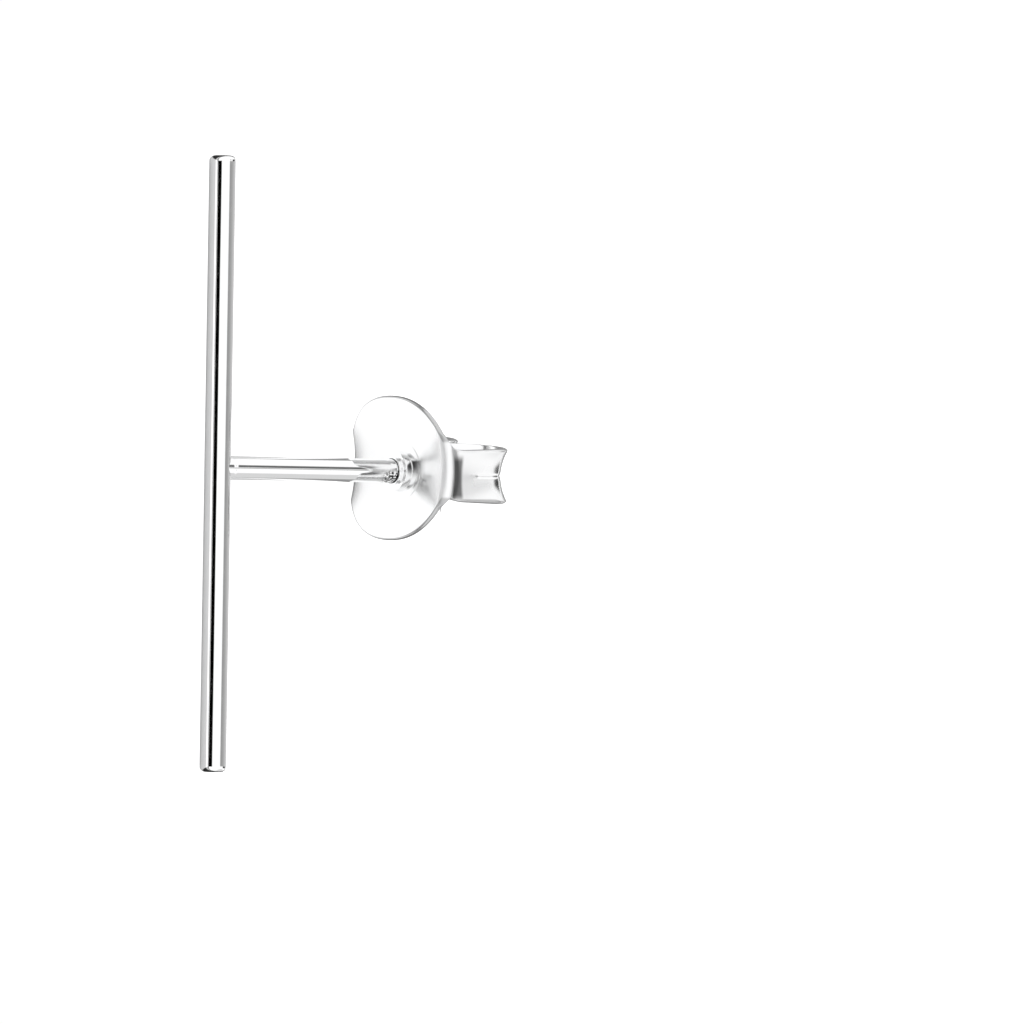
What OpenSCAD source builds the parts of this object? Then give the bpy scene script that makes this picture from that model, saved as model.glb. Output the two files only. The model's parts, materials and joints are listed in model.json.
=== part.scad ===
// Bar earring lying on a flat surface: a round wire bar, a post soldered square to the bar's
// middle, and a butterfly clutch folded from one strip of sheet and pushed onto the post.
//
// The row frame has the bar along Y and the surface at z = 0. The earring is drawn in a frame
// of its own first: X runs along the post away from the bar's axis, Y along the bar, and Z
// across the post, upwards. lay_down() then tips it until the clutch's lower fold and the bar
// both touch the surface.

/* [Bar] */
// Length of the bar, end to end
bar_length = 23.1; // [16:0.1:40]
// Diameter of the bar's wire
bar_d = 1.0; // [0.9:0.05:1.4]
// Rounding of the bar's two ends
bar_end_round = 0.2; // [0.1:0.05:0.4]
// How far below the bar's middle the post is soldered
post_drop = 0.15; // [0:0.05:2]

/* [Post] */
// Length of the post, from the bar's surface to the tip
post_length = 11.0; // [10:0.5:13]
// Diameter of the post
post_d = 0.9; // [0.7:0.05:1.0]
// Rounding of the post's tip
tip_round = 0.25; // [0.1:0.05:0.3]
// How far the solder between bar and post stands out round the post
solder_width = 0.04; // [0.02:0.01:0.1]
// How far the solder climbs the post from the bar's surface
solder_height = 0.16; // [0.05:0.01:0.3]
// Distance from the tip to the grip groove that the clutch's collar sits on
tip_to_groove = 3.05; // [2.5:0.05:5]
// Distance from that groove to the next one, towards the tip
groove_pitch = 0.8; // [0.5:0.1:1.2]
// Width of a grip groove
groove_width = 0.1; // [0.06:0.01:0.16]
// Depth of a grip groove
groove_depth = 0.04; // [0.02:0.01:0.06]
// How much thinner the post's radius is at the tip than at the first grip groove
tip_taper = 0.01; // [0.005:0.005:0.03]

/* [Clutch plate] */
// Thickness of the clutch's sheet
sheet = 0.2; // [0.15:0.01:0.25]
// Width of the oval plate, across the bar, as cut
plate_width = 5.84; // [5.4:0.02:7]
// Height of the oval plate, along the bar
plate_height = 5.44; // [4.6:0.02:6.6]
// Fullness of the plate's outline, where 2 is a plain oval
plate_fullness = 2.3; // [2:0.1:3]
// How far the plate's oval runs on round its folds
oval_reach = 0.04; // [0:0.01:0.1]
// How far the plate's middle band turns forward by its folds, in degrees
edge_lift = 4; // [1:0.5:8]
// How far the two lobes bend forward at their ends
lobe_rise = 0.67; // [0.3:0.01:0.8]
// How far from the plate's middle line the lobes start to bend
lobe_start = 0.8; // [0.6:0.05:1.2]
// How far the hole lies from the plate's middle, along the bar
hole_offset = 0.11; // [0:0.01:0.3]

/* [Clutch arms] */
// Width of an arm
arm_width = 1.95; // [1.6:0.05:2.3]
// How much wider an arm is on each side where it arches over
arch_flare = 0.05; // [0:0.01:0.15]
// Radius of the fold between plate and arm, at the middle of the sheet
fold_r = 0.16; // [0.15:0.01:0.3]
// How far the fold turns the sheet, in degrees
fold_turn = 140; // [125:1:165]
// Radius of the hollow behind the fold
neck_r = 0.8; // [0.3:0.05:0.9]
// Depth of the clutch, from the middle of the plate's sheet to the back of the arches
clutch_depth = 3.25; // [2.9:0.05:4.2]
// Gap between the plate and the end of each arm
leg_gap = 0.6; // [0.4:0.05:0.9]
// How far each arm closes in on the post as it runs back, in degrees
arm_taper = 4; // [0:0.5:6]
// How far the arms lean out of square with the plate, in degrees
arm_lean = 5.3; // [0:0.1:7]
// Width of the guide groove pressed along the arms
guide_width = 0.3; // [0.2:0.02:0.5]
// Depth of that guide groove
guide_depth = 0.06; // [0.02:0.01:0.1]

/* [Clutch collar] */
// Height of the collar in front of the middle of the plate's sheet
collar_height = 0.6; // [0.5:0.05:0.8]
// Outer diameter of the collar's front lip
lip_d = 1.12; // [1.1:0.02:1.3]
// Outer diameter of the collar's base ring
ring_d = 1.46; // [1.4:0.02:1.8]
// Height of the base ring, in front of the middle of the sheet
ring_height = 0.43; // [0.3:0.01:0.5]

/* [Fit] */
// Clearance all round between the post and the clutch's hole
bore_clearance = 0.03; // [0.02:0.01:0.05]
// Gap between the post and each arm that grips it
grip_gap = 0.05; // [0.03:0.01:0.1]
// How far inside the collar's lip the grip groove lies
groove_cover = 0.15; // [0.1:0.01:0.25]
// How far the clutch is turned on the post, in degrees
clutch_swivel = 1; // [0:0.1:6]

/* [Hidden] */
$fn = 40;
CORNER_STEPS = 6;

bar_r = bar_d / 2;
post_r = post_d / 2;
bore_r = post_r + bore_clearance;
tip_x = bar_r + post_length;
seat_groove_x = tip_x - tip_to_groove;
lip_x = seat_groove_x - groove_cover;
plate_x = lip_x + collar_height;

// The strip's path runs from the middle of the plate to the end of one arm, as
// [x behind the plate, z across the post, heading in degrees from z towards x].
// Each stretch is [turn in degrees, radius or straight length, steps].
half_plate = plate_width / 2;
fold_z = half_plate - 2 * fold_r;
plate_bow_r = fold_z / sin(edge_lift);
neck_turn = fold_turn - edge_lift - 90 - arm_taper;
plate_edge = along([0, 0, 0], [-edge_lift, plate_bow_r], 1);
fold_end = along(plate_edge, [fold_turn, fold_r], 1);
neck_end = along(fold_end, [-neck_turn, neck_r], 1);
leg_z = post_r + grip_gap + sheet / 2;
back_x = clutch_depth - sheet / 2;
arch_r = (neck_end[1] - leg_z - tan(arm_taper) * (back_x - neck_end[0]))
         / (1 + cos(arm_taper) - tan(arm_taper) * (1 - sin(arm_taper)));
arch_x = back_x - arch_r * (1 - sin(arm_taper));
stretches = [
    [-edge_lift, plate_bow_r, 10],
    [fold_turn, fold_r, 7],
    [-neck_turn, neck_r, 4],
    [0, (arch_x - neck_end[0]) / cos(arm_taper), 3],
    [180 - arm_taper, arch_r, 14],
    [0, arch_x - arch_r * sin(arm_taper) - leg_gap, 3]
];
FOLD_START = 1;
FOLD_END = 2;
NECK_END = 3;

function along(start, stretch, t) =
    let (turn = stretch[0], size = stretch[1], from = start[2], to = from + turn * t)
    turn == 0
        ? [start[0] + size * t * sin(from), start[1] + size * t * cos(from), from]
        : let (r = size * sign(turn))
          [start[0] + r * (cos(from) - cos(to)), start[1] + r * (sin(to) - sin(from)), to];

function stretch_start(i) = i == 0 ? [0, 0, 0] : along(stretch_start(i - 1), stretches[i - 1], 1);

// Steps along the plate crowd towards its edge, where the outline curves fastest
function step_share(i, j) = i == 0 ? sin(90 * j / stretches[0][2]) : j / stretches[i][2];

// Stations along the path: [x, z, heading, stretch number and share of it]
stations = [
    for (i = [0 : len(stretches) - 1])
        for (j = [(i == 0 ? 0 : 1) : stretches[i][2]])
            concat(along(stretch_start(i), stretches[i], step_share(i, j)), [i + step_share(i, j)])
];

// How the sheet is curled across its width, as the rise of the sheet for each square
// millimetre from its middle line: [stretch number, curl]
arm_curl = [[0, 0], [1, 0], [2, -0.1], [3, 0.12], [4, 0.28], [5, 0.22], [6, 0.1]];
// Depth of the guide groove as a share of the full depth: [stretch number, share]
guide_share = [[3, 0], [3.6, 0], [3.9, 1], [6, 1]];
// How far the arm has widened, as a share of the full flare: [stretch number, share]
flare_share = [[3, 0], [4.3, 1], [5, 1], [6, 0]];

lobe_ease = 0.5;

function smooth_max(a, b, ease) = (a + b + sqrt((a - b) * (a - b) + ease * ease)) / 2;

// Half the strip's width at a station
function half_width(u) =
    let (along_plate = fold_z * min(u, FOLD_START)
             + fold_r * fold_turn * PI / 180 * max(0, min(u, FOLD_END) - FOLD_START),
         rest = max(0, 1 - pow(along_plate / (half_plate + oval_reach), plate_fullness)),
         oval = plate_height / 2 * pow(rest, 1 / plate_fullness))
    smooth_max(oval, arm_width / 2, 0.12) + arch_flare * lookup(u, flare_share);

// Rise of the sheet's middle over the path, towards the side that faces the bar on the plate
function lobe(y) =
    smooth_max(abs(y) - lobe_start, 0, lobe_ease) / smooth_max(plate_height / 2 - lobe_start, 0, lobe_ease);
function guide(y) = abs(y) < guide_width / 2 ? pow(cos(180 * y / guide_width), 2) : 0;
function rise(u, y) =
    lobe_rise * lobe(y) * (1 - max(0, min(1, u - FOLD_START)))
    + lookup(u, arm_curl) * y * y
    - guide_depth * lookup(u, guide_share) * guide(y);

// A point of the sheet, face +1 in front and -1 behind, on the side of the post given by hand
function sheet_point(station, across, face, hand) =
    let (x = station[0], z = station[1], heading = station[2], u = station[3],
         y = across * half_width(u),
         slope = atan((rise(u, y + 0.01) - rise(u, y - 0.01)) / 0.02),
         out = rise(u, y) + face * sheet / 2 * cos(slope),
         lean = tan(arm_lean) * max(0, min(1, (u - FOLD_START) / (NECK_END - FOLD_START))),
         side_z = hand * (z + out * sin(heading)))
    [x - out * cos(heading),
     y - face * sheet / 2 * sin(slope) + hole_offset - lean * side_z,
     side_z];

function turned(p) =
    [p[0] + plate_x,
     p[1] * cos(clutch_swivel) - p[2] * sin(clutch_swivel),
     p[2] * cos(clutch_swivel) + p[1] * sin(clutch_swivel)];

ACROSS = 12;
function ring_of(station, hand) = concat(
    [for (j = [0 : ACROSS]) turned(sheet_point(station, 2 * j / ACROSS - 1, 1, hand))],
    [for (j = [ACROSS : -1 : 0]) turned(sheet_point(station, 2 * j / ACROSS - 1, -1, hand))]
);

last = len(stations) - 1;
rings = concat(
    [for (i = [last : -1 : 1]) ring_of(stations[i], -1)],
    [for (i = [0 : last]) ring_of(stations[i], 1)]
);
sheet_points = [for (ring = rings) each ring];

// The pose: the least tilt at which every point of the clutch clears the surface
lay_angle = max([
    for (p = sheet_points)
        if (p[2] < 0) atan2(-p[2], p[0]) - asin(bar_r / norm([p[0], p[2]]))
]);
reach = max([for (p = sheet_points) p[0] * cos(lay_angle) - p[2] * sin(lay_angle)]);
centre_x = (reach - bar_r) / 2;

module lay_down() {
    translate([-centre_x, 0, bar_r]) rotate([0, -lay_angle, 0]) children();
}

module on_the_post_line() {
    translate([0, -post_drop, 0]) children();
}

// A solid of revolution about the post's axis, its profile's height running from x = start
// away from the bar, or towards it
module round_the_post(start, towards_bar = false) {
    translate([start, 0, 0]) rotate([0, towards_bar ? -90 : 90, 0]) children();
}

// A quarter round of a profile, from the flat end at height h to the side at radius r
function rounded_corner(r, h, round) = [
    for (i = [0 : CORNER_STEPS])
        let (a = 90 * (1 - i / CORNER_STEPS))
        [r - round + round * cos(a), h - round + round * sin(a)]
];

module bar() {
    half = bar_length / 2;
    end = rounded_corner(bar_r, half, bar_end_round);
    far_end = [for (i = [CORNER_STEPS : -1 : 0]) [end[i][0], -end[i][1]]];
    rotate([-90, 0, 0]) rotate_extrude() polygon(concat([[0, half]], end, far_end, [[0, -half]]));
}

// From the first grip groove to the tip the post narrows a little, so the clutch starts easily
function post_r_at(x) = post_r - tip_taper * max(0, (x - seat_groove_x) / tip_to_groove);

function grip_groove(x) = [
    [post_r_at(x + groove_width / 2), x + groove_width / 2],
    [post_r_at(x) - groove_depth, x],
    [post_r_at(x - groove_width / 2), x - groove_width / 2]
];

// The post with its solder foot, which starts inside the bar
module post() {
    round_the_post(0) rotate_extrude() polygon(concat(
        [[0, tip_x]],
        rounded_corner(post_r_at(tip_x), tip_x, tip_round),
        grip_groove(seat_groove_x + groove_pitch),
        grip_groove(seat_groove_x),
        [
            [post_r, bar_r + solder_height],
            [post_r + solder_width * 0.3, bar_r + solder_height / 2],
            [post_r + solder_width * 0.9, bar_r],
            [post_r + solder_width, 0],
            [0, 0]
        ]
    ));
}

module bar_and_post() {
    color("silver") lay_down() {
        bar();
        on_the_post_line() post();
    }
}

module folded_sheet() {
    count = len(rings[0]);
    sides = [
        for (i = [0 : len(rings) - 2]) for (j = [0 : count - 1])
            let (a = i * count + j, b = i * count + (j + 1) % count)
            each [[a, b, b + count], [a, b + count, a + count]]
    ];
    first_end = [for (j = [count - 1 : -1 : 0]) j];
    other_end = [for (j = [0 : count - 1]) (len(rings) - 1) * count + j];
    polyhedron(sheet_points, concat(sides, [first_end, other_end]));
}

module collar() {
    edge = 0.05;
    round_the_post(plate_x, towards_bar = true) rotate_extrude() polygon([
        [0, 0],
        [ring_d / 2, 0],
        [ring_d / 2, ring_height - edge],
        [ring_d / 2 - edge, ring_height],
        [lip_d / 2 + edge, ring_height],
        [lip_d / 2 + edge / 2, ring_height + edge / 2],
        [lip_d / 2, collar_height - edge / 2],
        [lip_d / 2 - edge / 2, collar_height],
        [0, collar_height]
    ]);
}

module post_hole() {
    past = 0.1;
    round_the_post(lip_x - past)
        cylinder(h = collar_height + sheet + 2 * past, r = bore_r);
}

module butterfly_clutch() {
    color("silver") lay_down() on_the_post_line() difference() {
        union() {
            folded_sheet();
            collar();
        }
        post_hole();
    }
}

bar_and_post();
butterfly_clutch();
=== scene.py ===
"""A silver bar earring lying on a white table, with its butterfly clutch pushed onto the post.

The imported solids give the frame: where the bar lies, which way the post points and how far the
whole thing reaches. Both solids get a finer skin here, drawn in millimetres on the bench, with
X along the post, Y along the bar and Z across the post, and then laid down in the frame.
"""

import json
import math
from collections import namedtuple
from contextlib import contextmanager

import bmesh
import bpy
from mathutils import Matrix, Vector


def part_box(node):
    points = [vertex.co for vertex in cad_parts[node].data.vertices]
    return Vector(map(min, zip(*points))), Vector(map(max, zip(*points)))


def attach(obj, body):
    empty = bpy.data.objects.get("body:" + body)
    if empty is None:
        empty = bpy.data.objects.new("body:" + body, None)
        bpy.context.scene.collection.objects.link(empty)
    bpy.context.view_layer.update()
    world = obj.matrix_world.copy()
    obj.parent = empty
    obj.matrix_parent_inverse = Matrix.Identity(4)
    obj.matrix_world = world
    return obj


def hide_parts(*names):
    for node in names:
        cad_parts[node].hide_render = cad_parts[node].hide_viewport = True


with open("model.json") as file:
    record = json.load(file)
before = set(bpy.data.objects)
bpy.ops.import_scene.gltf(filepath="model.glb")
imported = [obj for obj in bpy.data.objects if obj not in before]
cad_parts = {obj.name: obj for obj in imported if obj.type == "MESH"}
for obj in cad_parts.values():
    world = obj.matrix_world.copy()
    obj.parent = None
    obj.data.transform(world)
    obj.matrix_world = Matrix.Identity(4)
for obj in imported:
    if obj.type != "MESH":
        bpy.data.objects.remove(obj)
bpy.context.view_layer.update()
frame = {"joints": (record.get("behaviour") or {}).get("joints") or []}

MM = 0.001

# The photograph: millimetres across its frame, and its view of the earring
PICTURE_WIDTH = 38.35
VIEW_FROM_POST = math.radians(51.0)
PICTURE_ROLL = math.radians(0.93)
BAR_RIGHT_OF_LEFT_EDGE = 8.155
BAR_ABOVE_MIDDLE = 1.81
CAMERA_DISTANCE = 600.0

# The bar and the post, in millimetres
BAR_LENGTH = 23.1
BAR_R = 0.5
BAR_END_ROUND = 0.2
BAR_END_DOME = 0.01
POST_DROP = 0.15
POST_R = 0.45
POST_START = 0.1
TIP_X = 11.5
TIP_ROUND = 0.25
TIP_DOME = 0.03
TIP_TAPER = 0.01
SEAT_GROOVE_X = 8.45
GROOVE_PITCH = 0.8
GROOVE_WIDTH = 0.1
GROOVE_DEPTH = 0.04
SOLDER_WIDTH = 0.02
SOLDER_HEIGHT = 0.16

# How finely the two wires are drawn
SIDES = 96
ROUND_STEPS = 8
DOME_RINGS = (0.8, 0.55, 0.3)
BAR_END_RINGS = (0.03, 0.12, 0.5)
RING_GAP = 0.05
FOOT_IN_BAR = 0.1
FOOT_SWELL = (1.0, 0.9, 0.5, 0.2)
WIRE_SHARPNESS = math.radians(30)

# The clutch's strip of sheet, in millimetres and degrees
SHEET = 0.2
PLATE_WIDTH = 5.84
PLATE_HEIGHT = 5.44
PLATE_FULLNESS = 2.3
OVAL_REACH = 0.0
PLATE_X = 8.9
EDGE_TURN = -4.0
LOBE_RISE = 0.67
LOBE_START = 0.8
LOBE_EASE = 0.5
HOLE_OFFSET = 0.11
ARM_WIDTH = 1.95
ARCH_FLARE = 0.05
FOLD_R = 0.16
FOLD_TURN = 140
NECK_R = 0.8
CLUTCH_DEPTH = 3.25
LEG_GAP = 0.6
ARM_LEAN = 5.3
ARM_SLOPE = math.tan(math.radians(ARM_LEAN))
ARM_TAPER = 4.0
GUIDE_WIDTH = 0.3
GUIDE_DEPTH = 0.06
GRIP_GAP = 0.05
CLUTCH_SWIVEL = 1.0
RIM_ROUND = 0.055
NECK_EASE = 0.12

# The collar drawn out of the plate round the post's hole
BORE_R = 0.48
SKIRT_R = 1.2
SKIRT_RISE = 0.02
SKIRT_STEP = 0.03
RING_R = 0.73
RING_HEIGHT = 0.43
RING_FOOT_R = RING_R + 0.05
LIP_R = 0.56
COLLAR_HEIGHT = 0.6
PLATE_RING_R = 1.0
PUNCHED_BLOCK_R = SKIRT_R + 0.08
INSIDE_PLATE_R = 2.3

# How near, in millimetres, counts as being at a place, and how square as facing a way
TOUCH = 0.01
CLOSE_TOUCH = 0.001
FACING = 0.99


# Handling a piece on the bench


@contextmanager
def working_on(piece):
    """Take one piece into edit mode with nothing on it selected, and back out at the end."""
    bpy.ops.object.select_all(action="DESELECT")
    piece.select_set(True)
    bpy.context.view_layer.objects.active = piece
    bpy.ops.object.mode_set(mode="EDIT")
    bpy.ops.mesh.select_all(action="DESELECT")
    yield
    bpy.ops.object.mode_set(mode="OBJECT")


def pick(piece, kind, wanted):
    """In edit mode, select only the vertices, edges or faces that pass the test."""
    bpy.ops.mesh.select_mode(type={"verts": "VERT", "edges": "EDGE", "faces": "FACE"}[kind])
    bpy.ops.mesh.select_all(action="DESELECT")
    mesh = bmesh.from_edit_mesh(piece.data)
    for part in getattr(mesh, kind):
        if wanted(part):
            part.select_set(True)
    mesh.select_flush_mode()
    bmesh.update_edit_mesh(piece.data, loop_triangles=False, destructive=False)


def turn(angle, axis, centre):
    """Turn what is selected the way the right hand's fingers curl round the axis."""
    # With no window open the operator turns the other way
    bpy.ops.transform.rotate(value=-angle, orient_axis=axis, orient_type="GLOBAL",
                             center_override=centre)


def cut_ring(axis, place):
    """Cut everything selected with a plane across one axis, which leaves a ring of edges."""
    along = Vector([float(letter == axis) for letter in "XYZ"])
    bpy.ops.mesh.bisect(plane_co=along * place, plane_no=along, threshold=1e-5)


def apply_modifier(piece, kind, **settings):
    """Add a modifier with these settings and apply it."""
    bpy.ops.object.select_all(action="DESELECT")
    piece.select_set(True)
    bpy.context.view_layer.objects.active = piece
    modifier = piece.modifiers.new(kind.lower(), kind)
    for name, value in settings.items():
        setattr(modifier, name, value)
    bpy.ops.object.modifier_apply(modifier=modifier.name)


def put_down(piece, place):
    """Move a finished piece from the bench to its place, and keep the place in its mesh."""
    bpy.ops.object.select_all(action="DESELECT")
    piece.select_set(True)
    bpy.context.view_layer.objects.active = piece
    piece.matrix_world = place
    bpy.ops.object.transform_apply(location=True, rotation=True, scale=True)


# The frame of the earring: the post climbs from the bar at the angle that its joint slides along

post_axis = Vector(frame["joints"][0]["axis"])
lay_angle = math.atan2(post_axis.z, post_axis.x)
low_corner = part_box("bar_and_post")[0]
bar_middle = Vector((low_corner.x + BAR_R * MM, 0, low_corner.z + BAR_R * MM))
lay_down = (Matrix.Translation(bar_middle) @ Matrix.Rotation(-lay_angle, 4, "Y")
            @ Matrix.Scale(MM, 4))
on_the_post = (Matrix.Translation((PLATE_X, -POST_DROP, 0))
               @ Matrix.Rotation(math.radians(CLUTCH_SWIVEL), 4, "X")
               @ Matrix.Translation((0, HOLE_OFFSET, 0)))


def aim_camera():
    """A long lens at the photograph's angle, so the bar stands left of the middle."""
    elevation = VIEW_FROM_POST - lay_angle
    towards_camera = Vector((-math.cos(elevation), 0, math.sin(elevation)))
    level_right = Vector((math.sin(elevation), 0, math.cos(elevation)))
    along_bar = Vector((0, 1, 0))
    right = math.cos(PICTURE_ROLL) * level_right + math.sin(PICTURE_ROLL) * along_bar
    up = math.cos(PICTURE_ROLL) * along_bar - math.sin(PICTURE_ROLL) * level_right
    middle = (bar_middle + right * (PICTURE_WIDTH / 2 - BAR_RIGHT_OF_LEFT_EDGE) * MM
              - up * BAR_ABOVE_MIDDLE * MM)

    lens = bpy.data.cameras.new("long_lens")
    lens.sensor_width = 36
    lens.lens = lens.sensor_width * CAMERA_DISTANCE / PICTURE_WIDTH
    camera = bpy.data.objects.new("camera", lens)
    turned = Matrix((right, up, towards_camera)).transposed().to_4x4()
    camera.matrix_world = Matrix.Translation(middle + towards_camera * CAMERA_DISTANCE * MM) @ turned
    bpy.context.scene.collection.objects.link(camera)
    bpy.context.scene.camera = camera


# Bar and post


def make_bar():
    """The bar: round wire, its two ends turned over and left slightly domed."""
    bpy.ops.mesh.primitive_cylinder_add(vertices=SIDES, radius=BAR_R, depth=BAR_LENGTH,
                                        rotation=(math.radians(90), 0, 0))
    bar = bpy.context.object
    bpy.ops.object.transform_apply(location=False, rotation=True, scale=False)
    half = BAR_LENGTH / 2
    with working_on(bar):
        for side in (1, -1):
            pick(bar, "edges", lambda edge: all(v.co.y * side > half - TOUCH for v in edge.verts))
            bpy.ops.mesh.bevel(offset=BAR_END_ROUND, segments=ROUND_STEPS, profile=0.5, affect="EDGES")
            pick(bar, "faces", lambda face: face.normal.y * side > FACING and len(face.verts) > 4)
            dome_end(Vector((0, side, 0)), BAR_R - BAR_END_ROUND, BAR_END_DOME)
        for side in (1, -1):
            for back in BAR_END_RINGS:
                bpy.ops.mesh.select_all(action="SELECT")
                cut_ring("Y", side * (half - BAR_END_ROUND - back))
    return bar


def dome_end(outwards, radius, height):
    """Raise a wire's flat end face, which is selected, in rings to a low dome."""
    reached = 1.0
    for ring in DOME_RINGS:
        bpy.ops.mesh.inset(thickness=radius * (reached - ring), use_even_offset=True)
        bpy.ops.transform.translate(value=outwards * height * (reached ** 2 - ring ** 2))
        reached = ring
    bpy.ops.mesh.poke()


def make_post():
    """The post: thinner wire with two grip grooves, a rounded tip and a flared solder foot."""
    length = TIP_X - POST_START
    bpy.ops.mesh.primitive_cylinder_add(vertices=SIDES, radius=POST_R, depth=length,
                                        location=(POST_START + length / 2, 0, 0),
                                        rotation=(0, math.radians(90), 0))
    post = bpy.context.object
    bpy.ops.object.transform_apply(location=True, rotation=True, scale=False)
    grooves = (SEAT_GROOVE_X, SEAT_GROOVE_X + GROOVE_PITCH)
    # Rings of edges across each groove, as shares of its width
    lips = (-0.12, -0.03, 0.0, 0.5, 1.0, 1.03, 1.12)
    with working_on(post):
        pick(post, "edges", lambda edge: all(v.co.x > TIP_X - TOUCH for v in edge.verts))
        bpy.ops.mesh.bevel(offset=TIP_ROUND, segments=ROUND_STEPS, profile=0.5, affect="EDGES")
        pick(post, "faces", lambda face: face.normal.x > FACING and len(face.verts) > 4)
        dome_end(Vector((1, 0, 0)), POST_R - TIP_ROUND, TIP_DOME)
        foot = BAR_R + SOLDER_HEIGHT
        groove_rings = [x + (lip - 0.5) * GROOVE_WIDTH for x in grooves for lip in lips]
        foot_rings = [BAR_R - FOOT_IN_BAR, BAR_R, BAR_R + SOLDER_HEIGHT / 4,
                      BAR_R + SOLDER_HEIGHT / 2, foot, foot + RING_GAP]
        tip_rings = [TIP_X - TIP_ROUND - RING_GAP]
        for x in groove_rings + foot_rings + tip_rings:
            bpy.ops.mesh.select_all(action="SELECT")
            cut_ring("X", x)
        for x in grooves:
            pick(post, "verts", lambda vert: abs(vert.co.x - x) < TOUCH)
            narrow(1 - GROOVE_DEPTH / POST_R, x)
        swell = SOLDER_WIDTH / POST_R
        for x, share in zip(foot_rings, FOOT_SWELL):
            pick(post, "verts", lambda vert: abs(vert.co.x - x) < TOUCH / 2)
            narrow(1 + swell * share, x)
        pick(post, "verts", lambda vert: vert.co.x < BAR_R - 2 * FOOT_IN_BAR)
        narrow(1 + swell, POST_START)
        pick(post, "verts", lambda vert: vert.co.x > TIP_X - TIP_ROUND - 2 * RING_GAP)
        narrow(1 - TIP_TAPER / POST_R, TIP_X)
    return post


def narrow(share, x):
    """Resize what is selected round the post's axis."""
    bpy.ops.transform.resize(value=(1, share, share), center_override=(x, 0, 0))


def make_bar_and_post():
    """Bar and post soldered together."""
    bar = make_bar()
    post = make_post()
    post.location.y = -POST_DROP
    bpy.ops.object.select_all(action="DESELECT")
    post.select_set(True)
    bar.select_set(True)
    bpy.context.view_layer.objects.active = bar
    bpy.ops.object.join()
    bar.name = "polished_bar_and_post"
    with working_on(bar):
        bpy.ops.mesh.select_all(action="SELECT")
        bpy.ops.mesh.normals_make_consistent(inside=False)
    bpy.ops.object.shade_smooth_by_angle(angle=WIRE_SHARPNESS)
    put_down(bar, lay_down)
    return bar


# Butterfly clutch: the path of its strip, from the middle of the plate to the end of an arm

Station = namedtuple("Station", "x z heading step")

edge_turn = math.radians(EDGE_TURN)
half_plate = PLATE_WIDTH / 2
fold_z = half_plate - 2 * FOLD_R
plate_bow_r = fold_z / abs(math.sin(edge_turn))


def along(start, bend, size, share):
    """The place and heading on a bend, or on a straight stretch, a share of the way along."""
    heading = start.heading + bend * share
    if bend == 0:
        return Station(start.x + size * share * math.sin(heading),
                       start.z + size * share * math.cos(heading), heading, start.step + share)
    r = math.copysign(size, bend)
    return Station(start.x + r * (math.cos(start.heading) - math.cos(heading)),
                   start.z + r * (math.sin(heading) - math.sin(start.heading)),
                   heading, start.step + share)


def strip_path():
    """Stations along one half of the strip: bowed plate, fold, neck, flank, arch and leg."""
    taper = math.radians(ARM_TAPER)
    neck_turn = edge_turn + math.radians(FOLD_TURN - 90) - taper
    middle = Station(0, 0, 0, 0)
    plate_edge = along(middle, edge_turn, plate_bow_r, 1)
    fold_end = along(plate_edge, math.radians(FOLD_TURN), FOLD_R, 1)
    neck_end = along(fold_end, -neck_turn, NECK_R, 1)
    leg_z = POST_R + GRIP_GAP + SHEET / 2
    back = CLUTCH_DEPTH - SHEET / 2
    arch_r = ((neck_end.z - leg_z - math.tan(taper) * (back - neck_end.x))
              / (1 + math.cos(taper) - math.tan(taper) * (1 - math.sin(taper))))
    arch_x = back - arch_r * (1 - math.sin(taper))
    # The bend, the size and the number of columns of each stretch
    stretches = [
        (math.radians(FOLD_TURN), FOLD_R, 8),
        (-neck_turn, NECK_R, 5),
        (0, (arch_x - neck_end.x) / math.cos(taper), 5),
        (math.pi - taper, arch_r, 16),
        (0, arch_x - arch_r * math.sin(taper) - LEG_GAP, 4),
    ]
    path = [along(middle, edge_turn, plate_bow_r, math.sin(math.pi / 2 * i / PLATE_COLUMNS))
            for i in range(PLATE_COLUMNS + 1)]
    for bend, size, count in stretches:
        start = path[-1]
        path += [along(start, bend, size, (i + 1) / count) for i in range(count)]
    return path


PLATE_COLUMNS = 12
HALF_ROWS = 9
HOLE_COLUMNS = 5
HOLE_ROWS = 5
path = strip_path()

# How far each station lies from the strip's middle while the strip is still flat
flat_z = [station.z for station in path[:PLATE_COLUMNS + 1]]
for before, after in zip(path[PLATE_COLUMNS:], path[PLATE_COLUMNS + 1:]):
    flat_z.append(flat_z[-1] + math.hypot(after.x - before.x, after.z - before.z))

# How the strip is curled across its width, as rise for each square millimetre, by station step
ARM_CURL = ((0, 0), (1, 0), (2, -0.1), (3, 0.12), (4, 0.28), (5, 0.22), (6, 0.1))
# How deep the guide groove is pressed, as a share of its full depth, by station step
GUIDE_SHARE = ((0, 0), (3.4, 0), (3.6, 1), (6, 1))
# How far an arm has widened, as a share of the full flare, by station step
FLARE_SHARE = ((0, 0), (3, 0), (4.3, 1), (5, 1), (6, 0))


def read_off(table, at):
    """The value of a table of (place, value) pairs between two of its places."""
    for (left, low), (right, high) in zip(table, table[1:]):
        if at <= right:
            return low + (high - low) * (at - left) / (right - left)
    return table[-1][1]


def step_at(z):
    """The station step at a distance from the flat strip's middle."""
    return read_off(list(zip(flat_z, [station.step for station in path])), abs(z))


def smooth_max(a, b, ease):
    """The larger of two values, eased over where they meet."""
    return (a + b + math.sqrt((a - b) ** 2 + ease ** 2)) / 2


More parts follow.
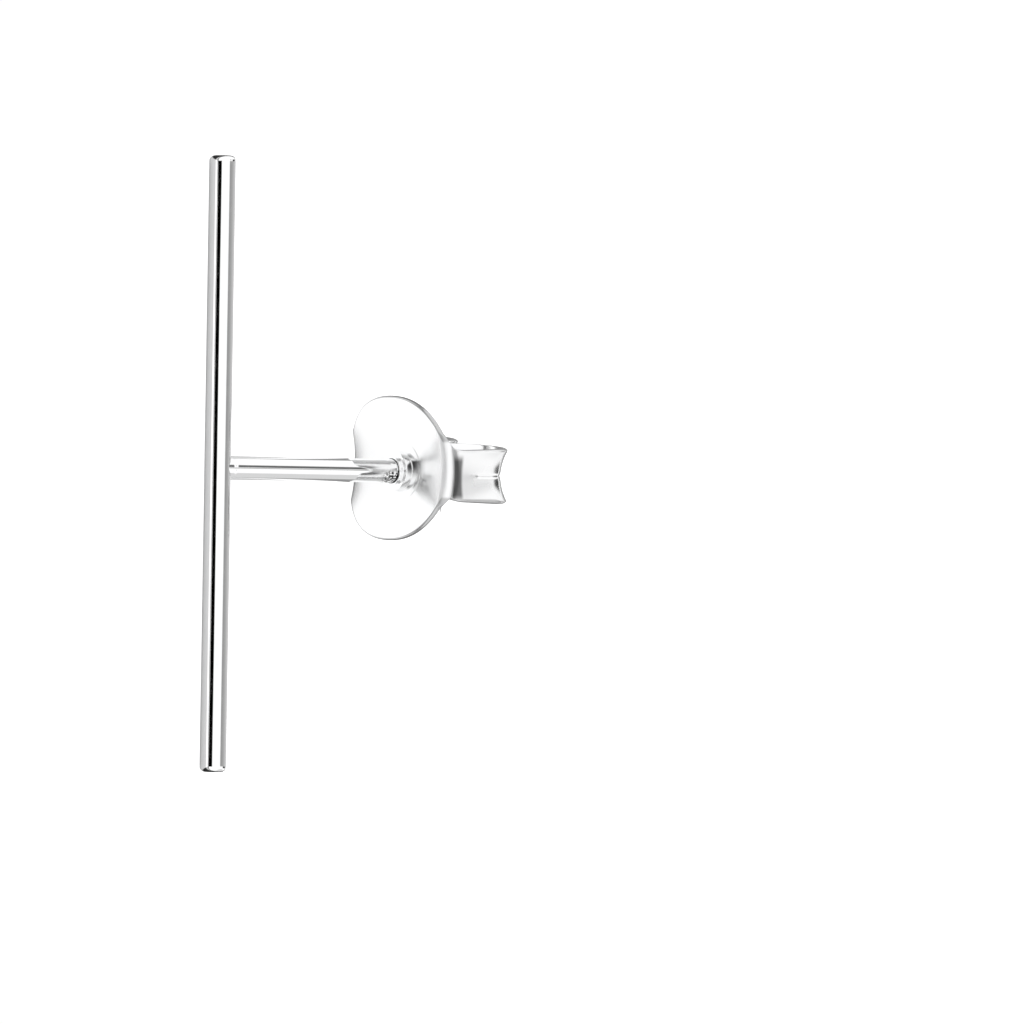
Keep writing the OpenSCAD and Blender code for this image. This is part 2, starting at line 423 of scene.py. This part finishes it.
def half_width(step):
    """Half the strip's width: the oval plate running out into the arm."""
    along_plate = (fold_z * min(step, 1)
                   + FOLD_R * math.radians(FOLD_TURN) * max(0, min(step, 2) - 1))
    share = along_plate / (half_plate + OVAL_REACH)
    oval = PLATE_HEIGHT / 2 * max(0, 1 - share ** PLATE_FULLNESS) ** (1 / PLATE_FULLNESS)
    return smooth_max(oval, ARM_WIDTH / 2, NECK_EASE) + ARCH_FLARE * read_off(FLARE_SHARE, step)


def press_depth(y, z):
    """How far the press pushes the flat strip towards the bar at a place on it."""
    step = step_at(z)
    lobe = (smooth_max(abs(y) - LOBE_START, 0, LOBE_EASE)
            / smooth_max(PLATE_HEIGHT / 2 - LOBE_START, 0, LOBE_EASE))
    bowed = min(abs(z), fold_z)
    bow = math.copysign(plate_bow_r - math.sqrt(plate_bow_r ** 2 - bowed ** 2), edge_turn)
    from_hole = math.hypot(y + HOLE_OFFSET, z)
    on_skirt = (SKIRT_R + SKIRT_STEP - from_hole) / (2 * SKIRT_STEP)
    skirt = SKIRT_RISE * max(0, min(1, on_skirt))
    groove = math.cos(math.pi * y / GUIDE_WIDTH) ** 2 if abs(y) < GUIDE_WIDTH / 2 else 0
    return (LOBE_RISE * lobe * (1 - max(0, min(1, step - 1)))
            + read_off(ARM_CURL, step) * y * y - bow + skirt
            - GUIDE_DEPTH * read_off(GUIDE_SHARE, step) * groove)


def cut_blank():
    """The flat strip, its rows and columns set out for the folds, trimmed to the oval and arms."""
    columns = [-z for z in reversed(flat_z[1:])] + flat_z
    bpy.ops.mesh.primitive_grid_add(x_subdivisions=len(columns) - 1,
                                    y_subdivisions=2 * HALF_ROWS, size=2,
                                    rotation=(0, math.radians(-90), 0))
    blank = bpy.context.object
    blank.name = "pressed_butterfly_clutch"
    bpy.ops.object.transform_apply(location=False, rotation=True, scale=False)
    spacing = 2 / (len(columns) - 1)
    # The columns start far apart and step aside one by one, so that none is met twice
    apart = 4 * flat_z[-1]
    aside = 50
    with working_on(blank):
        bpy.ops.mesh.select_all(action="SELECT")
        bpy.ops.transform.resize(value=(1, 1, apart / spacing), center_override=(0, 0, 0))
        for i, z in enumerate(columns):
            now = (i - (len(columns) - 1) / 2) * apart
            pick(blank, "verts", lambda vert: abs(vert.co.z - now) < 2 * TOUCH)
            bpy.ops.transform.translate(value=(aside, 0, z - now))
            wide = half_width(step_at(z))
            bpy.ops.transform.resize(value=(1, wide, 1), center_override=(0, 0, z))
            bpy.ops.transform.translate(value=(-aside, 0, 0))
    return blank


def punch_hole(blank):
    """A round hole in the plate, in a ring of faces that runs out into its rows and columns."""
    block_z = flat_z[HOLE_COLUMNS]
    centre = Vector((0, -HOLE_OFFSET, 0))
    count = 4 * (HOLE_COLUMNS + HOLE_ROWS)

    def in_block(face):
        place = face.calc_center_median()
        rows = half_width(step_at(place.z)) * HOLE_ROWS / HALF_ROWS
        return abs(place.z) < block_z and abs(place.y) < rows

    with working_on(blank):
        pick(blank, "faces", in_block)
        bpy.ops.mesh.delete(type="FACE")
        bpy.ops.mesh.primitive_circle_add(vertices=count, radius=PUNCHED_BLOCK_R, location=centre,
                                          rotation=(0, math.radians(90), 0))
        pick(blank, "edges", lambda edge: len(edge.link_faces) < 2
             and (edge.verts[0].co - centre).length < INSIDE_PLATE_R)
        bpy.ops.mesh.bridge_edge_loops()
        reached = PUNCHED_BLOCK_R
        pick(blank, "edges", lambda edge: len(edge.link_faces) < 2
             and (edge.verts[0].co - centre).length < reached + TOUCH)
        for radius in (SKIRT_R + SKIRT_STEP, SKIRT_R - SKIRT_STEP, SKIRT_R - 3 * SKIRT_STEP,
                       PLATE_RING_R, RING_FOOT_R):
            bpy.ops.mesh.extrude_region_move()
            bpy.ops.transform.resize(value=(1, radius / reached, radius / reached),
                                     center_override=centre)
            reached = radius


def press(blank):
    """Dish the plate and curl the arms, while the strip is still flat."""
    depths = [press_depth(vert.co.y, vert.co.z) for vert in blank.data.vertices]
    for name, side in (("towards_bar", 1), ("away_from_bar", -1)):
        deepest = max(max(side * depth for depth in depths), 1e-6)
        group = blank.vertex_groups.new(name=name)
        for index, depth in enumerate(depths):
            group.add([index], max(0, side * depth) / deepest, "REPLACE")
        apply_modifier(blank, "DISPLACE", direction="X", mid_level=0, vertex_group=name,
                       strength=-side * deepest)


def fold(strip):
    """Fold both arms, each from its end inwards, so that every fold line is still in place."""
    flat = [vert.co.copy() for vert in strip.data.vertices]
    chords = [math.atan2(after.x - before.x, after.z - before.z)
              for before, after in zip(path[PLATE_COLUMNS:], path[PLATE_COLUMNS + 1:])]
    chords = [0] + [unwound(chord) for chord in chords]
    bow = path[PLATE_COLUMNS].x
    with working_on(strip):
        for hand in (1, -1):
            for i in range(len(path) - 2, PLATE_COLUMNS - 1, -1):
                bend = chords[i - PLATE_COLUMNS + 1] - chords[i - PLATE_COLUMNS]
                if abs(bend) < 1e-6:
                    continue
                centre = (bow, 0, hand * flat_z[i])
                # A column on a fold line turns by half of the bend, but the plate's last one stays
                first = flat_z[i] + (CLOSE_TOUCH if i == PLATE_COLUMNS else -CLOSE_TOUCH)
                for reach in (first, flat_z[i] + CLOSE_TOUCH):
                    pick(strip, "verts", lambda vert: hand * flat[vert.index].z > reach)
                    turn(hand * bend / 2, "Y", centre)
        lean_arms(strip, flat)


def unwound(heading):
    """A heading between -pi and pi as one between 0 and a full turn."""
    return heading if heading > -1e-6 else heading + 2 * math.pi


def lean_arms(strip, flat):
    """Slide the folded columns along the bar, so that the arms lean as they stand out."""
    for hand in (1, -1):
        for i in range(PLATE_COLUMNS + 1, len(path)):
            share = min(1, (path[i].step - 1) / 2)
            pick(strip, "verts",
                 lambda vert: abs(hand * flat[vert.index].z - flat_z[i]) < CLOSE_TOUCH)
            slide = -ARM_SLOPE * share * hand * path[i].z
            bpy.ops.transform.translate(value=(0, slide, 0))


def is_rim(edge, sharpest=math.radians(60)):
    """Whether an edge lies between the sheet's face and its cut edge."""
    return len(edge.link_faces) == 2 and edge.calc_face_angle() > sharpest


def give_thickness(strip):
    """Thicken the folded surface to the sheet, and take the sharpness off its cut edges."""
    centre = Vector((0, -HOLE_OFFSET, 0))
    apply_modifier(strip, "SOLIDIFY", thickness=SHEET, offset=0)
    with working_on(strip):
        bpy.ops.mesh.select_all(action="SELECT")
        bpy.ops.mesh.normals_make_consistent(inside=False)
        pick(strip, "edges", lambda edge: is_rim(edge)
             and (edge.verts[0].co - centre).length > SKIRT_R)
        bpy.ops.mesh.bevel(offset=RIM_ROUND, segments=2, profile=0.5, affect="EDGES")


def draw_collar(clutch):
    """Draw the collar out of the plate: a low ring, a lip, and the bore back through the sheet."""
    centre = Vector((0, -HOLE_OFFSET, 0))
    round_hole = RING_FOOT_R + 2 * TOUCH

    def near_hole(edge):
        return all(math.hypot(v.co.y + HOLE_OFFSET, v.co.z) < round_hole for v in edge.verts)

    # Radius and height of each ring, from the plate up over the ring and lip and down the bore
    rings = [
        (RING_R + 0.015, SHEET / 2 + SKIRT_RISE + 0.02),
        (RING_R, SHEET / 2 + SKIRT_RISE + 0.05),
        (RING_R, RING_HEIGHT - 0.04),
        (RING_R - 0.012, RING_HEIGHT - 0.012),
        (RING_R - 0.04, RING_HEIGHT),
        (LIP_R + 0.06, RING_HEIGHT),
        (LIP_R + 0.03, RING_HEIGHT + 0.01),
        (LIP_R + 0.012, RING_HEIGHT + 0.04),
        (LIP_R + 0.005, COLLAR_HEIGHT - 0.04),
        (LIP_R - 0.008, COLLAR_HEIGHT - 0.01),
        (LIP_R - 0.03, COLLAR_HEIGHT),
        (BORE_R + 0.02, COLLAR_HEIGHT),
        (BORE_R + 0.004, COLLAR_HEIGHT - 0.01),
        (BORE_R, COLLAR_HEIGHT - 0.04),
        (BORE_R, 0.15),
        (BORE_R, -0.02),
        (BORE_R + 0.01, -0.05),
        (BORE_R + 0.05, -0.07),
    ]
    with working_on(clutch):
        pick(clutch, "faces", lambda face: abs(face.normal.x) < 0.5
             and (face.calc_center_median() - centre).length < round_hole)
        bpy.ops.mesh.delete(type="FACE")
        pick(clutch, "edges", lambda edge: near_hole(edge) and len(edge.link_faces) == 1
             and edge.link_faces[0].normal.x < 0)
        reached = RING_FOOT_R
        for radius, height in rings:
            bpy.ops.mesh.extrude_region_move()
            bpy.ops.transform.resize(value=(0, radius / reached, radius / reached),
                                     center_override=(-height, -HOLE_OFFSET, 0))
            reached = radius
        bpy.ops.mesh.select_all(action="DESELECT")
        bpy.ops.mesh.select_mode(type="EDGE")
        bpy.ops.mesh.select_non_manifold()
        bpy.ops.mesh.bridge_edge_loops()
        bpy.ops.mesh.select_all(action="SELECT")
        bpy.ops.mesh.normals_make_consistent(inside=False)


def make_butterfly_clutch():
    """The clutch, made the way the real one is: cut, punched, pressed, folded and drawn."""
    clutch = cut_blank()
    punch_hole(clutch)
    press(clutch)
    fold(clutch)
    give_thickness(clutch)
    draw_collar(clutch)
    apply_modifier(clutch, "SUBSURF", levels=2, render_levels=2)
    bpy.ops.object.shade_smooth()
    put_down(clutch, lay_down @ on_the_post)
    return clutch


# Sums, soft edges and layers that the finishes and the tent are made of


def feed(tree, socket, value):
    """Link a socket to another's value, or set it."""
    if isinstance(value, bpy.types.NodeSocket):
        tree.links.new(value, socket)
    else:
        socket.default_value = value


def add_node(tree, kind, **inputs):
    """Add a node and set or link its inputs by name."""
    node = tree.nodes.new(kind)
    for name, value in inputs.items():
        feed(tree, node.inputs[name.replace("_", " ")], value)
    return node


def reckon(tree, operation, *values):
    """The result of a sum on one, two or three values."""
    node = tree.nodes.new("ShaderNodeMath")
    node.operation = operation
    for socket, value in zip(node.inputs, values):
        feed(tree, socket, value)
    return node.outputs["Value"]


def size_of(tree, value):
    """The value without its sign."""
    return reckon(tree, "ABSOLUTE", value)


def axes_of(tree, vector):
    """The X, Y and Z of a vector, by name."""
    split = add_node(tree, "ShaderNodeSeparateXYZ", Vector=vector)
    return {"x": split.outputs["X"], "y": split.outputs["Y"], "z": split.outputs["Z"]}


def spread(tree, value, start, end, low=0.0, high=1.0):
    """A straight scale from start, where the value is low, to end, where it is high."""
    node = add_node(tree, "ShaderNodeMapRange", Value=value, From_Min=low, From_Max=high,
                    To_Min=start, To_Max=end)
    return node.outputs["Result"]


def between(tree, value, low, high):
    """A soft step: 0 below low, 1 above high; swap the two to step down."""
    node = add_node(tree, "ShaderNodeMapRange", Value=value,
                    From_Min=min(low, high), From_Max=max(low, high),
                    To_Min=0.0 if low < high else 1.0, To_Max=1.0 if low < high else 0.0)
    node.interpolation_type = "SMOOTHSTEP"
    return node.outputs["Result"]


def patch(tree, measures, edges):
    """A mask inside all of its soft edges, each given as a measure's name and its two limits."""
    name, low, high = edges[0]
    mask = between(tree, measures[name], low, high)
    for name, low, high in edges[1:]:
        mask = reckon(tree, "MULTIPLY", mask, between(tree, measures[name], low, high))
    return mask


def lay_over(tree, under, mask, value):
    """Lay a value over the one under it, where the mask is 1."""
    mix = tree.nodes.new("ShaderNodeMix")
    mix.data_type = "FLOAT"
    feed(tree, mix.inputs["Factor"], mask)
    feed(tree, mix.inputs["A"], under)
    feed(tree, mix.inputs["B"], value)
    return mix.outputs["Result"]


def new_material(name):
    """An empty material and its node tree."""
    material = bpy.data.materials.new(name)
    material.use_nodes = True
    material.node_tree.nodes.clear()
    return material, material.node_tree


# Finishes of the silver

WHITE = (1, 1, 1, 1)
DULL_SILVER = (0.90, 0.905, 0.91, 1)
BRIGHT_SILVER = (0.955, 0.955, 0.955, 1)
# Black laid over the silver, for painted shade on the sheet and for scuffs on the wire
SHADE_AND_SCUFF_BLACK = (0.03, 0.03, 0.03, 1)

# The polishing cloth runs along the bar and round the post, and along the clutch's strip
WIRE_HAIRLINES = (1.0, 0.05, 1.0)
SHEET_HAIRLINES = (1.0, 1.0, 0.08)
HAIRLINE_FINENESS = 9.0
WAVE_FINENESS = 0.9
SMUDGE_FINENESS = 1.7
SMUDGE_LIMITS = (0.35, 0.7)
HAIRLINE_DEPTH = 0.001 * MM
WAVE_DEPTH = 0.01 * MM

WIRE_ROUGHNESS = 0.03
WIRE_BUMP = 0.15
SHEET_ROUGHNESS = 0.17
SHEET_BUMP = 0.3
SMUDGE_ROUGHNESS = 0.05
FOLD_ROUGHNESS = 0.2

# Where each mark lies, in millimetres from the bar's axis and from the post's
ROUND_THE_FOLDS = (("off_middle", 2.35, 2.75),)
# Painted dark reflection on the sheet beside the collar's ring
PAINTED_RING_REFLECTION = (
    ("off_post", RING_R + 0.02, RING_R + 0.07),
    ("z", 1.65, 0.8),
    ("y", 0.46, 0.34),
    ("y", -0.35, 0.2),
)
# Painted shade on the sheet behind the folds, where each arm's neck turns
PAINTED_FOLD_SHADE = (
    ("x", PLATE_X + 0.12, PLATE_X + 0.3),
    ("x", PLATE_X + 0.86, PLATE_X + 0.68),
    ("off_middle", 2.2, 2.5),
    ("off_arm", 0.95, 0.6),
)
PAINTED_FOLD_SHADE_DARKNESS = 0.8
# Painted shade along the plate's cut edge, standing in for its darker reflection: from where the
# plate's oval comes near its full size, and clear of the two folds
PAINTED_RIM_SHADE = (("out_to_rim", 0.925, 0.955), ("off_hole", 0.98, 1.12))
PAINTED_RIM_SHADE_DARKNESS = 0.42
WHERE_CLUTCH_RUBS = (
    ("x", 7.4, 8.0),
    ("x", 8.7, 8.3),
    ("y", 0.05, -0.08),
    ("speckle", 0.44, 0.54),
)
SCUFF_FINENESS = 12.0

# Places of the colours on a mix node, whose names it gives to its plain numbers too
MIX_FIRST_COLOUR = 6
MIX_SECOND_COLOUR = 7
MIX_COLOUR_RESULT = 2


def on_the_bench(tree):
    """Places on the metal in bench millimetres: X along the post, from the bar's axis."""
    here = tree.nodes.new("ShaderNodeTexCoord").outputs["Object"]
    bench = add_node(tree, "ShaderNodeMapping", Vector=here, Rotation=(0, -lay_angle, 0),
                     Location=bar_middle - Vector((0, POST_DROP * MM, 0)), Scale=(MM, MM, MM))
    bench.vector_type = "TEXTURE"
    return bench.outputs["Vector"]


def noise(tree, place, fineness, detail, roughness=0.5):
    """A cloudy field; the detail adds finer clouds, as strong as the roughness says."""
    field = add_node(tree, "ShaderNodeTexNoise", Vector=place, Scale=fineness, Detail=detail,
                     Roughness=roughness)
    return field.outputs["Fac"]


def polished_silver(name, hairline_stretch, base_roughness, bump, painted_shade_and_scuffs, fold_roughness=0.0):
    """Polished silver with hairlines left by the polishing cloth and faint waves of the metal."""
    material, tree = new_material(name)
    millimetres = on_the_bench(tree)
    drawn_out = add_node(tree, "ShaderNodeMapping", Vector=millimetres, Scale=hairline_stretch)
    hairlines = noise(tree, drawn_out.outputs["Vector"], HAIRLINE_FINENESS, 3.0, 0.6)
    waves = noise(tree, millimetres, WAVE_FINENESS, 2.0)
    smudges = noise(tree, millimetres, SMUDGE_FINENESS, 4.0)

    smudged = spread(tree, smudges, base_roughness, base_roughness + SMUDGE_ROUGHNESS,
                     *SMUDGE_LIMITS)
    off_middle = size_of(tree, axes_of(tree, millimetres)["z"])
    folded = patch(tree, {"off_middle": off_middle}, ROUND_THE_FOLDS)
    roughness = reckon(tree, "ADD", smudged, spread(tree, folded, 0.0, fold_roughness))

    silver = add_node(tree, "ShaderNodeValToRGB", Fac=smudges)
    silver.color_ramp.elements[0].color = DULL_SILVER
    silver.color_ramp.elements[1].color = BRIGHT_SILVER
    # Over the silver goes black: painted shade on the sheet, scuffs on the wire
    colour = tree.nodes.new("ShaderNodeMix")
    colour.data_type = "RGBA"
    feed(tree, colour.inputs[0], painted_shade_and_scuffs(tree, millimetres))
    feed(tree, colour.inputs[MIX_FIRST_COLOUR], silver.outputs["Color"])
    feed(tree, colour.inputs[MIX_SECOND_COLOUR], SHADE_AND_SCUFF_BLACK)

    wavy = add_node(tree, "ShaderNodeBump", Height=waves, Strength=bump, Distance=WAVE_DEPTH)
    scratched = add_node(tree, "ShaderNodeBump", Height=hairlines, Strength=bump,
                         Distance=HAIRLINE_DEPTH, Normal=wavy.outputs["Normal"])
    metal = add_node(tree, "ShaderNodeBsdfPrincipled", Metallic=1.0, Roughness=roughness,
                     Base_Color=colour.outputs[MIX_COLOUR_RESULT],
                     Normal=scratched.outputs["Normal"])
    add_node(tree, "ShaderNodeOutputMaterial", Surface=metal.outputs["BSDF"])
    return material


def painted_sheet_shade(tree, millimetres):
    """Painted shade on the sheet: a dark reflection beside the collar's ring, shade behind the folds,
    and a grey band along the cut edge.
    """
    where = axes_of(tree, millimetres)
    y, z = where["y"], where["z"]
    across_post = add_node(tree, "ShaderNodeCombineXYZ", Y=y, Z=z)
    off_post = add_node(tree, "ShaderNodeVectorMath", Vector=across_post.outputs["Vector"])
    off_post.operation = "LENGTH"
    where["off_post"] = off_post.outputs["Value"]
    where["off_middle"] = size_of(tree, z)
    where["off_arm"] = size_of(tree, reckon(tree, "MULTIPLY_ADD", z, ARM_SLOPE, y))
    where["off_hole"], where["out_to_rim"] = on_the_plate(tree, y, z)
    painted_ring_and_fold_shade = lay_over(tree, patch(tree, where, PAINTED_RING_REFLECTION), patch(tree, where, PAINTED_FOLD_SHADE),
                       PAINTED_FOLD_SHADE_DARKNESS)
    return lay_over(tree, painted_ring_and_fold_shade, patch(tree, where, PAINTED_RIM_SHADE), PAINTED_RIM_SHADE_DARKNESS)


def on_the_plate(tree, y, z):
    """How far a place lies above or below the plate's middle, and its share of the oval."""
    swivel = math.radians(CLUTCH_SWIVEL)
    along_plate = reckon(tree, "ADD", reckon(tree, "MULTIPLY_ADD", z, swivel, y), -HOLE_OFFSET)
    off_hole = size_of(tree, along_plate)
    off_middle = size_of(tree, reckon(tree, "MULTIPLY_ADD", y, -swivel, z))
    shares = [reckon(tree, "POWER", reckon(tree, "DIVIDE", off, reach), PLATE_FULLNESS)
              for off, reach in ((off_hole, PLATE_HEIGHT / 2), (off_middle, PLATE_WIDTH / 2))]
    return off_hole, reckon(tree, "ADD", *shares)


def wire_marks(tree, millimetres):
    """Fine dark scuffs on the post in front of the collar, where the clutch rubs."""
    where = axes_of(tree, millimetres)
    where["speckle"] = noise(tree, millimetres, SCUFF_FINENESS, 2.0)
    return patch(tree, where, WHERE_CLUTCH_RUBS)


# The studio: a white table in a light tent. The camera sees plain white; the metal mirrors
# the table's painted pools of light and painted shadows, and the tent's zones

TABLE_R = 2.0
TABLE_GLOW = 1.0
# Glow of the painted pools of light, as the metal mirrors them
TABLE_MIRRORED_GLOW = 0.58
TABLE_GREY = 0.68
TENT_WHITE = 1.1

# Painted pools of light and painted shadows on the table, which the metal mirrors, in millimetres from
# the middle of the earring
PAINTED_LIGHT_UNDER_POST = (("x", -1.2, 0.1), ("x", 3.2, 2.4))
PAINTED_LIGHT_BEYOND_BAR = (("x", -7.4, -7.9), ("x", -11.2, -10.6))
# Painted shade on the table past the bar's ends
PAINTED_SHADE_PAST_BAR_ENDS = (("off_middle", 11.62, 11.8), ("x", -1.0, -3.0))
PAINTED_TABLE_SHADE_ZONES = (
    # Painted dark band on the board beyond the bar
    ((("x", -10.6, -11.2), ("x", -16, -15)), 1.0),
    # Painted shadow under the fold
    ((("x", 2.5, 3.1), ("y", 1.0, -1.5)), 0.7),
    # Painted shadow behind the clutch
    ((("x", 3.2, 3.8),), 0.55),
)

# Cards in the tent, by direction: the edges of each, and how bright it is
FAR_CARD_FOOT = 0.70
FAR_CARD_TOP = 0.34
FAR_CARD_TOP_HEIGHT = 0.9
GAP_LOW_ON_FAR_SIDE = (
    ("z", 0.74, 0.66), ("z", 0.14, 0.22), ("x", 0.5, 0.6), ("off_middle", 0.32, 0.22),
)
CARD_ON_FAR_SIDE = (("x", 0.18, 0.26), ("off_middle", 0.06, 0.03))
NEAR_CARDS = (
    # Over the post
    ((("x", 0.34, 0.38), ("x", 0.5, 0.45), ("y", 0.06, 0.14), ("y", 0.42, 0.34)), 0.15),
    # The side wall past the bar's lower end
    ((("x", 0.05, 0.3), ("y", -0.5, -0.62), ("z", 0.72, 0.62)), 0.72),
    # A slit low on the near side
    ((("z", 0.55, 0.47), ("x", 0.15, -0.05), ("off_middle", 0.1, 0.06)), 0.0),
)


def white_table_finish():
    """Matt board that the picture shows washed out to white, and the metal mirrors as grey, with
    painted pools of light and painted shadows on it.
    """
    material, tree = new_material("white_table")
    here = tree.nodes.new("ShaderNodeTexCoord").outputs["Object"]
    millimetres = add_node(tree, "ShaderNodeMapping", Vector=here, Scale=(1 / MM, 1 / MM, 1 / MM))
    where = axes_of(tree, millimetres.outputs["Vector"])
    where["off_middle"] = size_of(tree, where["y"])

    # Painted pools of light: the table glows here for every ray but the camera's
    lit = lay_over(tree, patch(tree, where, PAINTED_LIGHT_UNDER_POST), patch(tree, where, PAINTED_LIGHT_BEYOND_BAR), 1.0)
    mirrored = spread(tree, lit, 0.0, TABLE_MIRRORED_GLOW)
    seen = tree.nodes.new("ShaderNodeLightPath").outputs["Is Camera Ray"]
    glow = spread(tree, seen, mirrored, TABLE_GLOW)
    # Painted shade darkens the table's colour in these zones
    dark = patch(tree, where, PAINTED_SHADE_PAST_BAR_ENDS)
    for zone, darkness in PAINTED_TABLE_SHADE_ZONES:
        dark = lay_over(tree, dark, patch(tree, where, zone), darkness)
    board = add_node(tree, "ShaderNodeBsdfPrincipled", Base_Color=spread(tree, dark, TABLE_GREY, 0.0),
                     Roughness=0.9, Emission_Color=WHITE, Emission_Strength=glow)
    add_node(tree, "ShaderNodeOutputMaterial", Surface=board.outputs["BSDF"])
    return material


def lay_table():
    """A wide white table at the height that the bar and the clutch's fold rest on."""
    bpy.ops.mesh.primitive_circle_add(vertices=64, radius=TABLE_R, fill_type="NGON")
    table = bpy.context.object
    table.name = "white_table"
    bpy.ops.object.shade_flat()
    table.data.materials.append(white_table_finish())


def pitch_light_tent():
    """White light from all round, with dark gaps in the tent and grey cards hung in it."""
    world = bpy.data.worlds.new("light_tent")
    bpy.context.scene.world = world
    world.use_nodes = True
    tree = world.node_tree
    tree.nodes.clear()
    where = axes_of(tree, tree.nodes.new("ShaderNodeTexCoord").outputs["Generated"])
    where["off_middle"] = size_of(tree, where["y"])

    far_card_light = spread(tree, where["z"], FAR_CARD_FOOT, FAR_CARD_TOP, 0.0, FAR_CARD_TOP_HEIGHT)
    light = lay_over(tree, TENT_WHITE, patch(tree, where, GAP_LOW_ON_FAR_SIDE), 0.0)
    light = lay_over(tree, light, patch(tree, where, CARD_ON_FAR_SIDE), far_card_light)
    for card, brightness in NEAR_CARDS:
        light = lay_over(tree, light, patch(tree, where, card), brightness)
    seen = tree.nodes.new("ShaderNodeLightPath").outputs["Is Camera Ray"]
    light = lay_over(tree, light, seen, 1.0)
    background = add_node(tree, "ShaderNodeBackground", Color=WHITE, Strength=light)
    add_node(tree, "ShaderNodeOutputWorld", Surface=background.outputs["Background"])


# The picture

aim_camera()
lay_table()
pitch_light_tent()
bpy.context.scene.view_settings.view_transform = "Standard"

bar_and_post = make_bar_and_post()
bar_and_post.data.materials.append(
    polished_silver("polished_wire", WIRE_HAIRLINES, WIRE_ROUGHNESS, WIRE_BUMP, wire_marks))
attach(bar_and_post, "earring")
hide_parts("bar_and_post")

clutch = make_butterfly_clutch()
# The sheet's finish carries painted shade and a painted dark reflection
clutch.data.materials.append(
    polished_silver("polished_sheet", SHEET_HAIRLINES, SHEET_ROUGHNESS, SHEET_BUMP, painted_sheet_shade,
                    FOLD_ROUGHNESS))
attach(clutch, "clutch")
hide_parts("butterfly_clutch")
